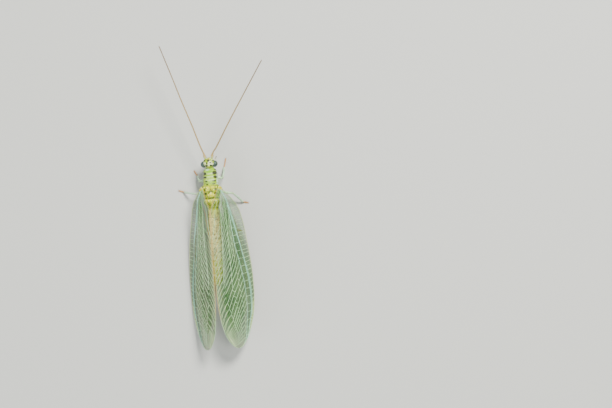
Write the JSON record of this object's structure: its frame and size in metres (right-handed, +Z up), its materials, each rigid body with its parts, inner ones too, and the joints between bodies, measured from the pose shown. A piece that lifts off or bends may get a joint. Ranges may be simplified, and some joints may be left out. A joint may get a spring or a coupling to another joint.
{
  "type": "green lacewing",
  "caption": "Life-size green lacewing at rest, with net-veined wings folded like a roof over a slender body, long forward feelers and slim legs spread on the floor.",
  "frame": {"origin": "on the floor, under the middle of the bounding box", "axes": "+Z up, the head looks along -Y, the insect's left side is +X"},
  "size_m": [0.0086, 0.0244, 0.0066],
  "materials": {
    "mint_cuticle": "satin cuticle, pale mint green with small dark marks",
    "sulphur_cuticle": "satin cuticle, sulphur yellow-green with pale plates",
    "cream_cuticle": "satin cuticle, cream with grey speckling",
    "compound_eye": "fine facets with a metallic sheen",
    "straw_feeler": "matt, finely ringed",
    "leg_cuticle": "satin, pale green with tan feet",
    "wing_membrane": "clear film with a faint sheen and pale green veins",
    "wing_vein": "satin, pale blue-green",
    "bristle": "fine short hairs"
  },
  "bodies": {
    "root": {"head": "mint_cuticle", "eye_left": "compound_eye", "eye_right": "compound_eye", "mouthparts": "mint_cuticle", "antenna_left": "straw_feeler", "antenna_right": "straw_feeler", "prothorax": "mint_cuticle", "mesothorax": "sulphur_cuticle", "metathorax": "sulphur_cuticle", "abdomen": "cream_cuticle", "forewing_left": "wing_membrane", "forewing_right": "wing_membrane", "hindwing_left": "wing_membrane", "hindwing_right": "wing_membrane", "foreleg_left": "leg_cuticle", "foreleg_right": "leg_cuticle", "midleg_left": "leg_cuticle", "midleg_right": "leg_cuticle", "hindleg_left": "leg_cuticle", "hindleg_right": "leg_cuticle"}
  },
  "joints": []
}
